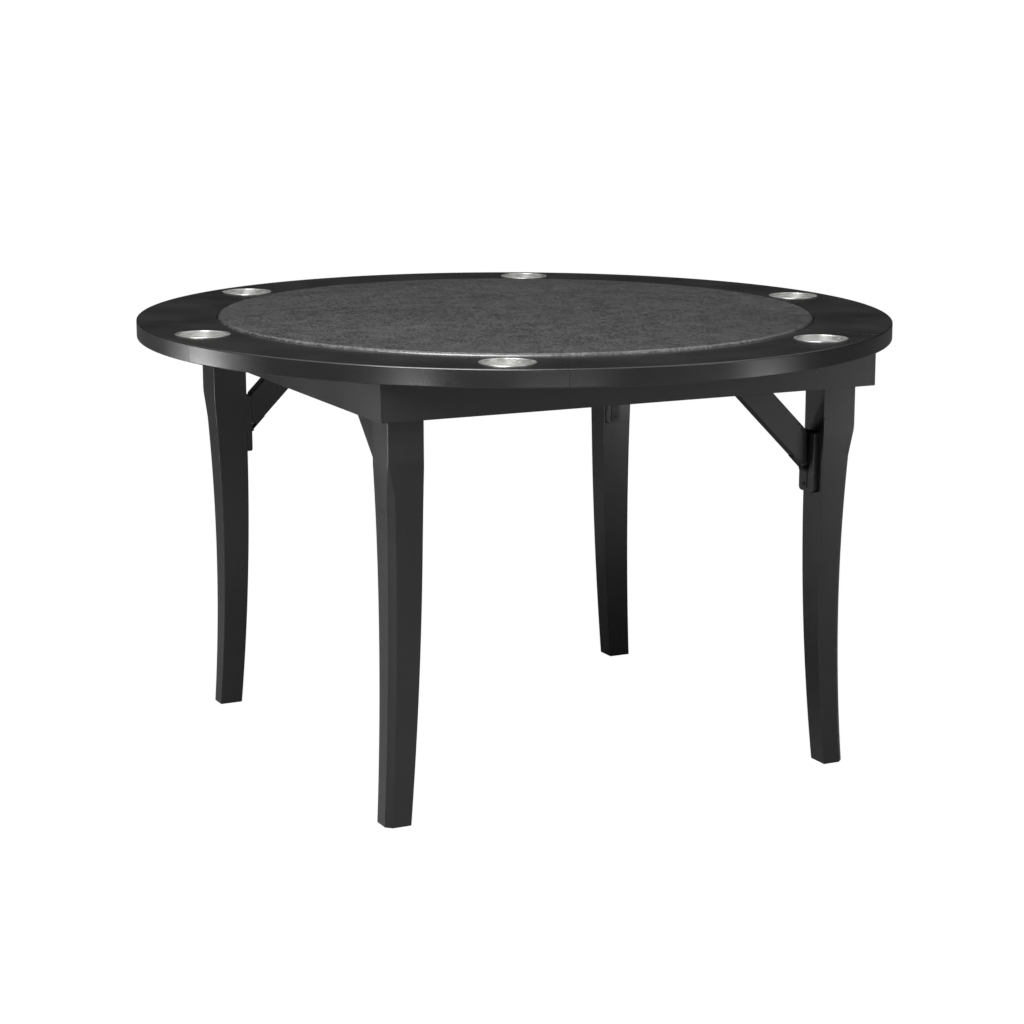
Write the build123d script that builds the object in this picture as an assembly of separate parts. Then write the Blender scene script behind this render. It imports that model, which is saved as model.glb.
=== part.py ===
# Round gaming table: a padded playing surface in a six-segment wooden rim with drop-in
# cup holders, a square apron, and four sabre legs that fold up under the top, each
# with its own diagonal brace.
#
# Frame: millimetres, +Z up, origin on the floor below the middle of the table.
# The apron's front board faces -Y. Every corner is the front-left one turned about Z.
from build123d import *
import os
from math import cos, radians, sin, sqrt, tan

# ---------------------------------------------------------------- driving dimensions
# top
table_height = 762.0          # floor to the rim's upper face
top_diameter = 1320.0
rim_thickness = 30.0
rim_arris = 2.0               # rounding of the band's upper and lower edges
play_diameter = 1046.0        # opening in the rim for the playing surface
segment_count = 6
first_seam_angle = 11.0       # degrees from +X
seam_gap = 0.3
seam_chamfer = 0.6
panel_thickness = 12.0
panel_overlap = 22.0          # how far the panel runs under the rim
panel_clearance = 0.3

# padded playing surface
pad_side_clearance = 1.2      # gap between the padding and the rim
pad_board_thickness = 6.0
pad_cover_thickness = 1.4
pad_rise = 2.5                # padding stands above the rim by this
pad_edge_round = 6.0

# cup holders
cup_count = 6
first_cup_angle = 2.6
cup_pitch_radius = 590.0
cup_flange_diameter = 91.0
cup_flange_thickness = 1.2
cup_bore_radius = 38.8
cup_wall = 0.8
cup_depth = 33.0              # rim's upper face down to the cup's underside
cup_corner = 6.0
cup_hole_clearance = 0.4

# apron
apron_side = 912.0
apron_height = 63.0
apron_thickness = 20.0
apron_arris = 0.8

# legs
leg_setback_x = 2.0           # leg behind the apron's inner face
leg_setback_y = 5.0
leg_top_width = 62.0
leg_shoulder_z = 590.0        # the straight top block ends here
leg_waist_z = 300.0           # the outer faces are furthest in here
leg_waist_in_x = 6.4
leg_waist_in_y = 12.0
leg_foot_out_x = 6.0          # foot against the top block, outwards
leg_foot_in_y = 6.0           # foot against the top block, inwards
leg_foot_width_x = 43.0
leg_foot_width_y = 42.0
leg_taper_start_z = 460.0     # the inner faces are straight above this
leg_chamfer = 10.0            # stopped chamfer on the outermost corner
leg_chamfer_top_z = 602.0     # it starts here and is at full width at the next height
leg_chamfer_full_z = 545.0
glide_radius = 13.0
glide_thickness = 4.0
glide_proud = 1.0

# leg hinge, between the leg's top and the corner block
hinge_length = 50.0
hinge_knuckles = 5
hinge_barrel_radius = 3.2
hinge_pin_radius = 1.6
hinge_leaf_thickness = 1.4
hinge_leaf_gap = 0.2
hinge_leaf_length = 44.0
hinge_offset = 3.6            # pin axis in front of the leg's inner face
pin_clearance = 0.05
knuckle_gap = 0.3

# cleat and brace
cleat_thickness = 10.0
cleat_height = 104.0
cleat_top_below_shoulder = 3.0
cleat_width = 45.5
cleat_setback = 1.5
cleat_corner = 7.0
brace_thickness = 22.0
brace_width = 48.0            # square to its slope
brace_end_top_z = 589.0
brace_heel_rise = 11.9        # level cut at the heel, above the lower edge's line
brace_angle = 45.0
brace_gap = 2.0               # brace's cut end to the cleat
brace_side_setback = 8.0
brace_arris = 2.0
brace_top_clearance = 3.0
brace_barrel_radius = 3.0
brace_pin_radius = 1.5
brace_leaf_thickness = 1.2
brace_leaf_length = 34.0
brace_knuckles = 3
brace_pivot_offset = 3.4      # pin axis in front of the cleat
brace_edge_offset = 0.35      # pin axis below the line of the brace's lower edge

# brace keeper, an open channel under the top
keeper_sheet = 1.6
keeper_side_gap = 1.0
keeper_depth = 26.0
keeper_lead = 8.0

# ---------------------------------------------------------------- derived sizes
top_radius = top_diameter / 2
play_radius = play_diameter / 2
rim_under = table_height - rim_thickness
panel_radius = play_radius + panel_overlap
apron_half = apron_side / 2
apron_inner = apron_half - apron_thickness
apron_under = rim_under - apron_height
leg_out_x = apron_inner - leg_setback_x
leg_out_y = apron_inner - leg_setback_y
leg_in_x = leg_out_x - leg_top_width
leg_in_y = leg_out_y - leg_top_width
hinge_stack = 2 * hinge_leaf_thickness + hinge_leaf_gap
leg_top_z = apron_under
block_under = leg_top_z + hinge_stack
fold_y = -leg_in_y + hinge_offset
fold_z = leg_top_z + hinge_stack / 2
cleat_face_y = -leg_in_y + cleat_thickness
brace_end_y = cleat_face_y + brace_gap
brace_x = -leg_in_x - brace_side_setback - brace_thickness / 2
brace_top_z = rim_under - brace_top_clearance
pivot_y = cleat_face_y + brace_pivot_offset
slope = radians(brace_angle)
brace_low_z = brace_end_top_z - brace_width / cos(slope)   # lower edge's line at the cut end
brace_heel_z = brace_low_z + brace_heel_rise
brace_run_low = (brace_top_z - brace_low_z) / tan(slope)
brace_run_high = (brace_top_z - brace_end_top_z) / tan(slope)
pivot_z = brace_low_z - brace_edge_offset / cos(slope) + (pivot_y - brace_end_y) * tan(slope)
far = 1500.0                  # longer than anything it cuts

corners = {"front_left": 0, "front_right": 90, "back_right": 180, "back_left": 270}

os.makedirs("parts", exist_ok=True)


def write(node, shape):
    export_step(shape, "parts/" + node + ".step")


def ring(outer, inner, height, base):
    disc = Pos(0, 0, base) * Cylinder(outer, height, align=(Align.CENTER, Align.CENTER, Align.MIN))
    hole = Pos(0, 0, base - 1) * Cylinder(inner, height + 2, align=(Align.CENTER, Align.CENTER, Align.MIN))
    return disc - hole


def block(low, high):
    size = [b - a for a, b in zip(low, high)]
    return Pos(*low) * Box(*size, align=(Align.MIN, Align.MIN, Align.MIN))


def edges_at_radius(shape, radius, height, tolerance=0.05):
    found = []
    for edge in shape.edges().filter_by(GeomType.CIRCLE):
        middle = edge @ 0.5
        on_circle = abs(sqrt(middle.X ** 2 + middle.Y ** 2) - radius) < tolerance
        if on_circle and abs(middle.Z - height) < tolerance:
            found.append(edge)
    return found


# ---------------------------------------------------------------- top
def rim_segment(number):
    """One sixth of the rim: rounded band, rebate for the panel, hole for a cup."""
    band = ring(top_radius, play_radius, rim_thickness, rim_under)
    rebate = ring(panel_radius + panel_clearance, play_radius - 1, panel_thickness + 1, rim_under - 1)
    band -= rebate
    outer = edges_at_radius(band, top_radius, table_height)
    outer += edges_at_radius(band, top_radius, rim_under)
    band = fillet(outer, rim_arris)
    turn = 360 / segment_count
    start = first_seam_angle + turn * (number - 1)
    half_gap = seam_gap / 2
    # two half-spaces, one on each seam
    keep_a = Rot(0, 0, start) * block((0, half_gap, 0), (far, far, far))
    keep_b = Rot(0, 0, start + turn) * block((0, -far, 0), (far, -half_gap, far))
    piece = band & keep_a & keep_b
    # fine chamfer on the upper arris of both seams
    for angle, side in ((start, 1), (start + turn, -1)):
        groove = Pos(0, side * half_gap, table_height) * Rot(45, 0, 0)
        width = seam_chamfer * sqrt(2)
        piece -= Rot(0, 0, angle) * groove * Box(2 * far, width, width)
    for cup in range(cup_count):
        angle = radians(first_cup_angle + 360 / cup_count * cup)
        hole = Cylinder(cup_bore_radius + cup_wall + cup_hole_clearance, 4 * rim_thickness)
        piece -= Pos(cup_pitch_radius * cos(angle), cup_pitch_radius * sin(angle), table_height) * hole
    return piece


def cup_holder(number):
    """Spun cup with a rolled flange that rests on the rim."""
    outer = cup_bore_radius + cup_wall
    flange = cup_flange_diameter / 2
    low = -cup_depth
    body = Cylinder(outer, cup_depth, align=(Align.CENTER, Align.CENTER, Align.MAX))
    body = fillet(edges_at_radius(body, outer, low), cup_corner)
    lip = Cylinder(flange, cup_flange_thickness, align=(Align.CENTER, Align.CENTER, Align.MIN))
    lip = fillet(edges_at_radius(lip, flange, cup_flange_thickness), cup_flange_thickness * 0.7)
    hollow = Pos(0, 0, low + cup_wall) * Cylinder(
        cup_bore_radius, cup_depth + 10, align=(Align.CENTER, Align.CENTER, Align.MIN)
    )
    hollow = fillet(edges_at_radius(hollow, cup_bore_radius, low + cup_wall), cup_corner - cup_wall)
    cup = body + lip - hollow
    mouth = edges_at_radius(cup, cup_bore_radius, cup_flange_thickness)
    cup = fillet(mouth, cup_flange_thickness * 0.5)
    angle = radians(first_cup_angle + 360 / cup_count * (number - 1))
    return Pos(cup_pitch_radius * cos(angle), cup_pitch_radius * sin(angle), table_height) * cup


def top_panel():
    """Plywood disc that closes the top from below and carries the padding."""
    return Pos(0, 0, rim_under) * Cylinder(
        panel_radius, panel_thickness, align=(Align.CENTER, Align.CENTER, Align.MIN)
    )


def padding():
    """Board, foam and cover of the playing surface, one on the other."""
    board_z = rim_under + panel_thickness
    foam_z = board_z + pad_board_thickness
    cover_top = table_height + pad_rise
    cover_radius = play_radius - pad_side_clearance
    foam_radius = cover_radius - pad_cover_thickness
    foam_top = cover_top - pad_cover_thickness
    bottom = (Align.CENTER, Align.CENTER, Align.MIN)
    board = Pos(0, 0, board_z) * Cylinder(cover_radius, pad_board_thickness, align=bottom)
    foam = Pos(0, 0, foam_z) * Cylinder(foam_radius, foam_top - foam_z, align=bottom)
    foam = fillet(edges_at_radius(foam, foam_radius, foam_top), pad_edge_round)
    cover = Pos(0, 0, foam_z) * Cylinder(cover_radius, cover_top - foam_z, align=bottom)
    cover = fillet(edges_at_radius(cover, cover_radius, cover_top), pad_edge_round + pad_cover_thickness)
    return board, foam, cover - foam


# ---------------------------------------------------------------- apron and corner blocks
def apron_board():
    """Front board, mitred at both ends."""
    outline = Polyline(
        (-apron_half, -apron_half),
        (apron_half, -apron_half),
        (apron_inner, -apron_inner),
        (-apron_inner, -apron_inner),
        close=True,
    )
    board = Pos(0, 0, apron_under) * extrude(make_face(outline), apron_height)
    arrises = []
    for edge in board.edges():
        middle = edge @ 0.5
        on_front = abs(middle.Y + apron_half) < 0.01
        if on_front and middle.Z < rim_under - 1:
            arrises.append(edge)
    return chamfer(arrises, apron_arris)


def leg_block():
    """Fixed block in the apron's corner that the leg is hinged to."""
    low = (-apron_inner, -apron_inner, block_under)
    return block(low, (-leg_in_x, -leg_in_y, rim_under))


# ---------------------------------------------------------------- hinges
def barrel(start, end, radius):
    middle = (start + end) / 2
    return Pos(middle, 0, 0) * Rot(0, 90, 0) * Cylinder(radius, end - start)


def hinge_leaf(length, count, radius, pin, plate_near, plate_length, low, thickness, has_pin):
    """A leaf with its knuckles; the pin axis is X, and the plate runs towards -Y."""
    pitch = length / count
    plate = block((-length / 2, -plate_length, low), (length / 2, -plate_near, low + thickness))
    leaf = plate
    spans = []
    for index in range(count):
        is_own = (index % 2 == 1) == has_pin
        if is_own:
            start = -length / 2 + pitch * index + knuckle_gap / 2
            spans.append((start, start + pitch - knuckle_gap))
    for start, end in spans:
        leaf += block((start, -plate_near - 1, low), (end, 0, low + thickness))
        leaf += barrel(start, end, radius)
    if has_pin:
        leaf += barrel(-length / 2, length / 2, pin)
    else:
        leaf -= barrel(-length, length, pin + pin_clearance)
    return leaf


def leg_hinge():
    """Both leaves of a leg's hinge, in place; the pin belongs to the leg's leaf."""
    place = Pos(-(leg_out_x + leg_in_x) / 2, fold_y, fold_z)
    near = hinge_offset + 0.1
    sizes = (hinge_length, hinge_knuckles, hinge_barrel_radius, hinge_pin_radius, near, hinge_leaf_length)
    fixed = hinge_leaf(*sizes, hinge_leaf_gap / 2, hinge_leaf_thickness, False)
    moving = hinge_leaf(*sizes, -hinge_leaf_gap / 2 - hinge_leaf_thickness, hinge_leaf_thickness, True)
    return place * fixed, place * moving


def brace_hinge():
    """Small hinge at the brace's heel: one leaf on the cleat, one under the brace."""
    place = Pos(brace_x, pivot_y, pivot_z)
    length = brace_thickness - 4
    near = brace_barrel_radius + knuckle_gap
    sizes = (length, brace_knuckles, brace_barrel_radius, brace_pin_radius, near, brace_leaf_length)
    # the plate runs down the cleat's face: -Y turned to -Z
    on_cleat = Rot(90, 0, 0) * hinge_leaf(
        *sizes, brace_pivot_offset - brace_leaf_thickness, brace_leaf_thickness, False
    )
    # the plate runs up the brace's lower edge: -Y turned to the brace's slope
    on_brace = Rot(180 + brace_angle, 0, 0) * hinge_leaf(
        *sizes, -brace_edge_offset, brace_leaf_thickness, True
    )
    return place * on_cleat, place * on_brace


# ---------------------------------------------------------------- leg
def tapered_face(out_top, in_top, out_waist, out_foot, in_foot):
    """Outline of the leg seen square on; the first coordinate runs outwards."""
    outline = Line((in_top, leg_top_z), (out_top, leg_top_z))
    outline += Line((out_top, leg_top_z), (out_top, leg_shoulder_z))
    outline += ThreePointArc((out_top, leg_shoulder_z), (out_waist, leg_waist_z), (out_foot, glide_proud))
    outline += Line((out_foot, glide_proud), (in_foot, glide_proud))
    outline += TangentArc((in_top, leg_taper_start_z), (in_foot, glide_proud), tangent=(0, -1))
    outline += Line((in_top, leg_taper_start_z), (in_top, leg_top_z))
    return make_face(outline)


def leg():
    """Sabre leg, sawn to one outline from the front and to another from the side."""
    foot_x = leg_out_x + leg_foot_out_x
    foot_y = leg_out_y - leg_foot_in_y
    waist_x = leg_out_x - leg_waist_in_x
    waist_y = leg_out_y - leg_waist_in_y
    front = tapered_face(leg_out_x, leg_in_x, waist_x, foot_x, foot_x - leg_foot_width_x)
    side = tapered_face(leg_out_y, leg_in_y, waist_y, foot_y, foot_y - leg_foot_width_y)
    from_front = extrude(Plane((0, 0, 0), x_dir=(-1, 0, 0), z_dir=(0, 1, 0)) * front, far, both=True)
    from_side = extrude(Plane((0, 0, 0), x_dir=(0, -1, 0), z_dir=(-1, 0, 0)) * side, far, both=True)
    shape = from_front & from_side
    # stopped chamfer on the outermost corner, as a third outline seen along the diagonal
    diagonal_top = (leg_out_x + leg_out_y) / sqrt(2)
    diagonal_waist = (waist_x + waist_y - leg_chamfer) / sqrt(2)
    diagonal_foot = (foot_x + foot_y - leg_chamfer) / sqrt(2)
    rise = (leg_chamfer_full_z - leg_waist_z) / (leg_shoulder_z - leg_waist_z)
    waist_in = diagonal_top - leg_chamfer / sqrt(2) - diagonal_waist
    diagonal_full = diagonal_waist + waist_in * rise ** 2
    outline = Polyline((0, glide_proud), (0, leg_top_z), (diagonal_top + 1, leg_top_z))
    outline += Line((diagonal_top + 1, leg_top_z), (diagonal_top + 1, leg_chamfer_top_z))
    outline += Line((diagonal_top + 1, leg_chamfer_top_z), (diagonal_top, leg_chamfer_top_z))
    outline += Line((diagonal_top, leg_chamfer_top_z), (diagonal_full, leg_chamfer_full_z))
    outline += ThreePointArc(
        (diagonal_full, leg_chamfer_full_z), (diagonal_waist, leg_waist_z), (diagonal_foot, glide_proud)
    )
    outline += Line((diagonal_foot, glide_proud), (0, glide_proud))
    diagonal = Plane((0, 0, 0), x_dir=(-1, -1, 0), z_dir=(-1, 1, 0))
    shape &= extrude(diagonal * make_face(outline), far, both=True)
    # recess for the glide
    x, y = glide_centre()
    recess = Cylinder(glide_radius, glide_thickness, align=(Align.CENTER, Align.CENTER, Align.MIN))
    return shape - Pos(x, y, 0) * recess


def glide_centre():
    x = -(leg_out_x + leg_foot_out_x - leg_foot_width_x / 2)
    y = -(leg_out_y - leg_foot_in_y - leg_foot_width_y / 2)
    return x, y


def foot_glide():
    x, y = glide_centre()
    disc = Cylinder(glide_radius, glide_thickness, align=(Align.CENTER, Align.CENTER, Align.MIN))
    disc = chamfer(edges_at_radius(disc, glide_radius, 0), 0.6)
    return Pos(x, y, 0) * disc


def leg_cleat():
    """Board on the leg's fold side that the brace's heel is hinged to."""
    top = leg_shoulder_z - cleat_top_below_shoulder
    x_high = -leg_in_x - cleat_setback
    board = block(
        (x_high - cleat_width, -leg_in_y, top - cleat_height),
        (x_high, cleat_face_y, top),
    )
    lower = [e for e in board.edges().filter_by(Axis.Y) if (e @ 0.5).Z < top - 1]
    return fillet(lower, cleat_corner)


# ---------------------------------------------------------------- brace and keeper
def brace():
    """Diagonal board: upright cut at the cleat, level cut under the top."""
    outline = Polyline(
        (brace_end_y, brace_heel_z),
        (brace_end_y + brace_heel_rise / tan(slope), brace_heel_z),
        (brace_end_y + brace_run_low, brace_top_z),
        (brace_end_y + brace_run_high, brace_top_z),
        (brace_end_y, brace_end_top_z),
        close=True,
    )
    board = extrude(Plane.YZ * make_face(outline), brace_thickness / 2, both=True)
    long_edges = []
    for edge in board.edges():
        direction = edge % 0.5
        if abs(direction.X) < 0.1 and abs(direction.Y) > 0.1 and abs(direction.Z) > 0.1:
            long_edges.append(edge)
    return Pos(brace_x, 0, 0) * fillet(long_edges, brace_arris)


def brace_keeper():
    """Steel channel that the brace's upper end stands in, open towards the middle."""
    half = brace_thickness / 2 + keeper_side_gap
    back = brace_end_y + brace_run_high - keeper_depth
    front = brace_end_y + brace_run_low + keeper_lead
    low = rim_under - keeper_depth
    plate = block((-half - keeper_sheet, back, rim_under - keeper_sheet), (half + keeper_sheet, front, rim_under))
    channel = plate
    for side in (-1, 1):
        x_low = min(side * half, side * (half + keeper_sheet))
        cheek = block((x_low, back, low), (x_low + keeper_sheet, front, rim_under))
        corner_edges = [e for e in cheek.edges().filter_by(Axis.X) if (e @ 0.5).Z < low + 1]
        channel += fillet(corner_edges, 6)
    return Pos(brace_x, 0, 0) * channel


# ---------------------------------------------------------------- write the nodes
write("top_panel", top_panel())
pad_board, pad_foam, pad_cover = padding()
write("pad_board", pad_board)
write("pad_foam", pad_foam)
write("pad_cover", pad_cover)
for number in range(1, segment_count + 1):
    write("rim_segment_" + str(number), rim_segment(number))
for number in range(1, cup_count + 1):
    write("cup_holder_" + str(number), cup_holder(number))

leg_leaf_fixed, leg_leaf_moving = leg_hinge()
brace_leaf_cleat, brace_leaf_moving = brace_hinge()
corner_pieces = {
    "apron": apron_board(),
    "leg_block": leg_block(),
    "brace_keeper": brace_keeper(),
    "leg_hinge_top_leaf": leg_leaf_fixed,
    "leg": leg(),
    "leg_cleat": leg_cleat(),
    "leg_hinge_leaf": leg_leaf_moving,
    "foot_glide": foot_glide(),
    "brace": brace(),
    "brace_hinge_cleat_leaf": brace_leaf_cleat,
    "brace_hinge_leaf": brace_leaf_moving,
}
for corner, angle in corners.items():
    for name, piece in corner_pieces.items():
        write(name + "_" + corner, Rot(0, 0, angle) * piece)
print("brace middle x", round(brace_x, 3))
print("fold axis y z", round(fold_y, 3), round(fold_z, 3))
print("brace axis y z", round(pivot_y, 3), round(pivot_z, 3))
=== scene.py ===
# %% [markdown]
# # A folding gaming table, finished over its engineering model
# The engineering model gives every board, hinge and cup its true place and size in
# metres, with +Z up and the floor at zero. This lesson loads it, keeps the shapes of
# the hidden hardware, and models again what the eye rests on: the rim, the cups, the
# padding, the apron, the legs, the cleats and the braces. Each new piece rides on the
# body it belongs to, so the legs still fold.

from math import cos, hypot, radians, sin, sqrt

import bmesh
import bpy
from mathutils import Matrix, Vector


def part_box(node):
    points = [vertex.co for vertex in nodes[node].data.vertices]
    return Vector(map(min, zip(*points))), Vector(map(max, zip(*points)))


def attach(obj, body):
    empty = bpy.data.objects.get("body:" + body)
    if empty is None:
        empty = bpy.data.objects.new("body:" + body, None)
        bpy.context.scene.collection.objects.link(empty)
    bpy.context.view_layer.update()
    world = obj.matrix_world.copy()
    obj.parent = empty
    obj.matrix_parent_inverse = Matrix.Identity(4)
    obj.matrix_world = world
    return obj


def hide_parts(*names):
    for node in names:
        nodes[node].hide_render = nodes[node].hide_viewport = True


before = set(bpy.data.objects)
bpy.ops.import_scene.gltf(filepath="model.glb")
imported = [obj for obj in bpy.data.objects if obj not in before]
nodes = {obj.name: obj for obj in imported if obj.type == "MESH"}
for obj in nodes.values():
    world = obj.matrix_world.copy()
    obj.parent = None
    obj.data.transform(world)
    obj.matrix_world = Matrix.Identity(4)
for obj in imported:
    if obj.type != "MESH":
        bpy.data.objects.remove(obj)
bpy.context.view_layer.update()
mm = 0.001

# %% [markdown]
# ## Working by hand, in code
# Blender's operators act on what is selected, so the helpers do what a hand does at
# the keyboard: choose one object, choose faces or edges by where they are, round the
# sharp edges, and finish a piece so that its place is in its mesh. The table is the
# same at each of its corners, so most pieces are made once and turned three times.

# %% Selecting and finishing
def take(piece):
    """Select one object alone and make it the active one."""
    bpy.ops.object.select_all(action="DESELECT")
    piece.select_set(True)
    bpy.context.view_layer.objects.active = piece
    return piece


def pick(kind, test):
    """In edit mode, select the verts, edges or faces whose place passes the test."""
    bpy.ops.mesh.select_mode(type=kind)
    bpy.ops.mesh.select_all(action="DESELECT")
    mesh = bmesh.from_edit_mesh(bpy.context.object.data)
    groups = {"VERT": mesh.verts, "EDGE": mesh.edges, "FACE": mesh.faces}
    for item in groups[kind]:
        if kind == "VERT":
            chosen = test(item.co)
        elif kind == "EDGE":
            chosen = test(item.verts[0].co, item.verts[1].co)
        else:
            chosen = test(item.calc_center_median(), item.normal)
        if chosen:
            item.select_set(True)
    mesh.select_flush_mode()
    bmesh.update_edit_mesh(bpy.context.object.data)


smooth_below = radians(40)      # edges that turn less than this are shaded smoothly


def keep_flats_flat(piece):
    """Smooth shading in which the large faces keep their own straight normals."""
    take(piece)
    bpy.ops.object.shade_smooth_by_angle(angle=smooth_below)
    weighted = piece.modifiers.new("flats", "WEIGHTED_NORMAL")
    weighted.keep_sharp = True
    weighted.weight = 100
    bpy.ops.object.modifier_apply(modifier="flats")


def soften(piece, width, segments=3, angle=30):
    """Round the sharp edges, as sandpaper does, and shade what is left smoothly."""
    take(piece)
    bevel = piece.modifiers.new("arris", "BEVEL")
    bevel.width = width
    bevel.segments = segments
    bevel.limit_method = "ANGLE"
    bevel.angle_limit = radians(angle)
    bpy.ops.object.modifier_apply(modifier="arris")
    keep_flats_flat(piece)


def cut_away(piece, cutter):
    """Cut one object out of another, then throw the cutter away."""
    take(piece)
    cut = piece.modifiers.new("cut", "BOOLEAN")
    cut.object, cut.operation, cut.solver = cutter, "DIFFERENCE", "EXACT"
    bpy.ops.object.modifier_apply(modifier="cut")
    bpy.data.objects.remove(cutter)


def drill(piece, centre, radius, low, high):
    """Drill an upright hole with a cylinder."""
    bpy.ops.object.select_all(action="DESELECT")
    bpy.ops.mesh.primitive_cylinder_add(
        vertices=96, radius=radius, depth=high - low, location=(*centre, (low + high) / 2)
    )
    cut_away(piece, bpy.context.object)


def put_on(piece, name, material, body, replaced=()):
    """Name a finished piece, dress it, and let it ride on its body."""
    take(piece)
    bpy.ops.object.transform_apply(location=True, rotation=True, scale=True)
    piece.name = name
    piece.data.name = name
    piece.data.materials.clear()
    piece.data.materials.append(material)
    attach(piece, body)
    if replaced:
        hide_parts(*replaced)
    return piece


def turned_copy(piece, angle):
    """A copy with its own mesh, turned about the table's middle."""
    copy = piece.copy()
    copy.data = piece.data.copy()
    copy.data.transform(Matrix.Rotation(angle, 4, "Z"))
    bpy.context.collection.objects.link(copy)
    return copy


corners = {"front_left": 0, "front_right": 90, "back_right": 180, "back_left": 270}


def at_every_corner(first):
    """The front left piece and its turned copies, each with its corner's name and turn."""
    others = [turned_copy(first, radians(angle)) for angle in list(corners.values())[1:]]
    return [(piece, *corner) for piece, corner in zip([first] + others, corners.items())]


def push_along(section, radius, height):
    """In edit mode, extrude the selected disc ring by ring along a section."""
    for next_radius, next_height in section:
        bpy.ops.mesh.extrude_region_move(
            TRANSFORM_OT_translate={"value": (0, 0, next_height - height)}
        )
        ratio = next_radius / radius
        bpy.ops.transform.resize(value=(ratio, ratio, 1), center_override=(0, 0, 0))
        radius, height = next_radius, next_height
    bpy.ops.mesh.select_all(action="SELECT")
    bpy.ops.mesh.normals_make_consistent(inside=False)
    bpy.ops.object.mode_set(mode="OBJECT")
    bpy.ops.object.transform_apply(location=True, rotation=True, scale=True)


def arc(centre_r, centre_z, radius, start, end, steps):
    """Points of a rounded corner in a turned section, as radius and height."""
    points = []
    for step in range(steps + 1):
        turn = radians(start + (end - start) * step / steps)
        points.append((centre_r + radius * cos(turn), centre_z + radius * sin(turn)))
    return points


print("corners", list(corners))

# %% [markdown]
# ## Colours and nodes
# Colours are written as the hex values a screen shows. A shader works in linear
# light, so one function turns them. One more function adds a node, sets it and
# links it, and every material below is built with it.

# %% Colour and node helpers
def linear(hex_colour):
    """Screen colour to the linear colour a shader needs."""
    values = []
    for start in (0, 2, 4):
        level = int(hex_colour.lstrip("#")[start:start + 2], 16) / 255
        values.append(level / 12.92 if level <= 0.04045 else ((level + 0.055) / 1.055) ** 2.4)
    return (*values, 1.0)


def add(tree, kind, sockets=None, **settings):
    """Add a node, set it, and give each input a value or a link."""
    node = tree.nodes.new(kind)
    for name, value in settings.items():
        setattr(node, name, value)
    for key, value in (sockets or {}).items():
        if isinstance(value, bpy.types.NodeSocket):
            tree.links.new(value, node.inputs[key])
        else:
            node.inputs[key].default_value = value
    return node


def material_sheet(name):
    """An empty material and its node tree."""
    material = bpy.data.materials.new(name)
    material.use_nodes = True
    material.node_tree.nodes.clear()
    return material, material.node_tree


print("mid grey on the screen is", round(linear("#808080")[0], 3), "in linear light")

# %% [markdown]
# ## Black satin lacquer on rubberwood
# The boards are machined rubberwood, sprayed with black lacquer. The film hides the
# colour of the wood, but its pores still telegraph as short shallow lines along the
# grain, and the spray dries with a faint orange peel a few millimetres across. To the
# eye it is a near black with soft, slightly wavy reflections. A picture of wood would
# stretch round the edges, so the pores are noise stretched in real space instead. The
# grain runs along each board, so the same recipe is made once for each direction.

# %% Lacquer
pore_width = 1.1 * mm      # real pores are 0.2 mm wide; drawn coarser so that they show
pore_length = 34 * mm
peel_size = 3.2 * mm
haze_size = 111 * mm       # patches that were polished a little more or less


def black_lacquer(name, grain_turn):
    """Sprayed satin black; grain_turn turns the grain's X to the board's length."""
    material, tree = material_sheet(name)
    place = add(tree, "ShaderNodeTexCoord").outputs["Object"]
    along = add(tree, "ShaderNodeMapping", {
        "Vector": place, "Rotation": grain_turn,
    }, vector_type="TEXTURE")
    stretched = add(tree, "ShaderNodeMapping", {
        "Vector": along.outputs["Vector"],
        "Scale": (1 / pore_length, 1 / pore_width, 1 / pore_width),
    })
    pores = add(tree, "ShaderNodeTexNoise", {
        "Vector": stretched.outputs["Vector"], "Scale": 1.0, "Detail": 2.0, "Roughness": 0.6,
    })
    pore_line = add(tree, "ShaderNodeMapRange", {
        "Value": pores.outputs["Fac"], "From Min": 0.28, "From Max": 0.45, "To Min": 0.0, "To Max": 1.0,
    })
    peel = add(tree, "ShaderNodeTexNoise", {
        "Vector": place, "Scale": 1 / peel_size, "Detail": 1.0, "Roughness": 0.4,
    })
    haze = add(tree, "ShaderNodeTexNoise", {"Vector": place, "Scale": 1 / haze_size, "Detail": 3.0})
    colour = add(tree, "ShaderNodeMix", {
        0: haze.outputs["Fac"], 6: linear("#0F0F0F"), 7: linear("#151515"),
    }, data_type="RGBA")
    gloss = add(tree, "ShaderNodeMapRange", {
        "Value": haze.outputs["Fac"], "From Min": 0.3, "From Max": 0.7, "To Min": 0.27, "To Max": 0.35,
    })
    peel_bump = add(tree, "ShaderNodeBump", {
        "Height": peel.outputs["Fac"], "Strength": 0.35, "Distance": 0.12 * mm,
    })
    pore_bump = add(tree, "ShaderNodeBump", {
        "Height": pore_line.outputs["Result"], "Strength": 0.3, "Distance": 0.06 * mm,
        "Normal": peel_bump.outputs["Normal"],
    })
    shader = add(tree, "ShaderNodeBsdfPrincipled", {
        "Base Color": colour.outputs[2], "Roughness": gloss.outputs["Result"],
        "Normal": pore_bump.outputs["Normal"], "IOR": 1.5,
        "Coat Weight": 0.25, "Coat Roughness": 0.12,
    })
    add(tree, "ShaderNodeOutputMaterial", {"Surface": shader.outputs["BSDF"]})
    return material


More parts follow.
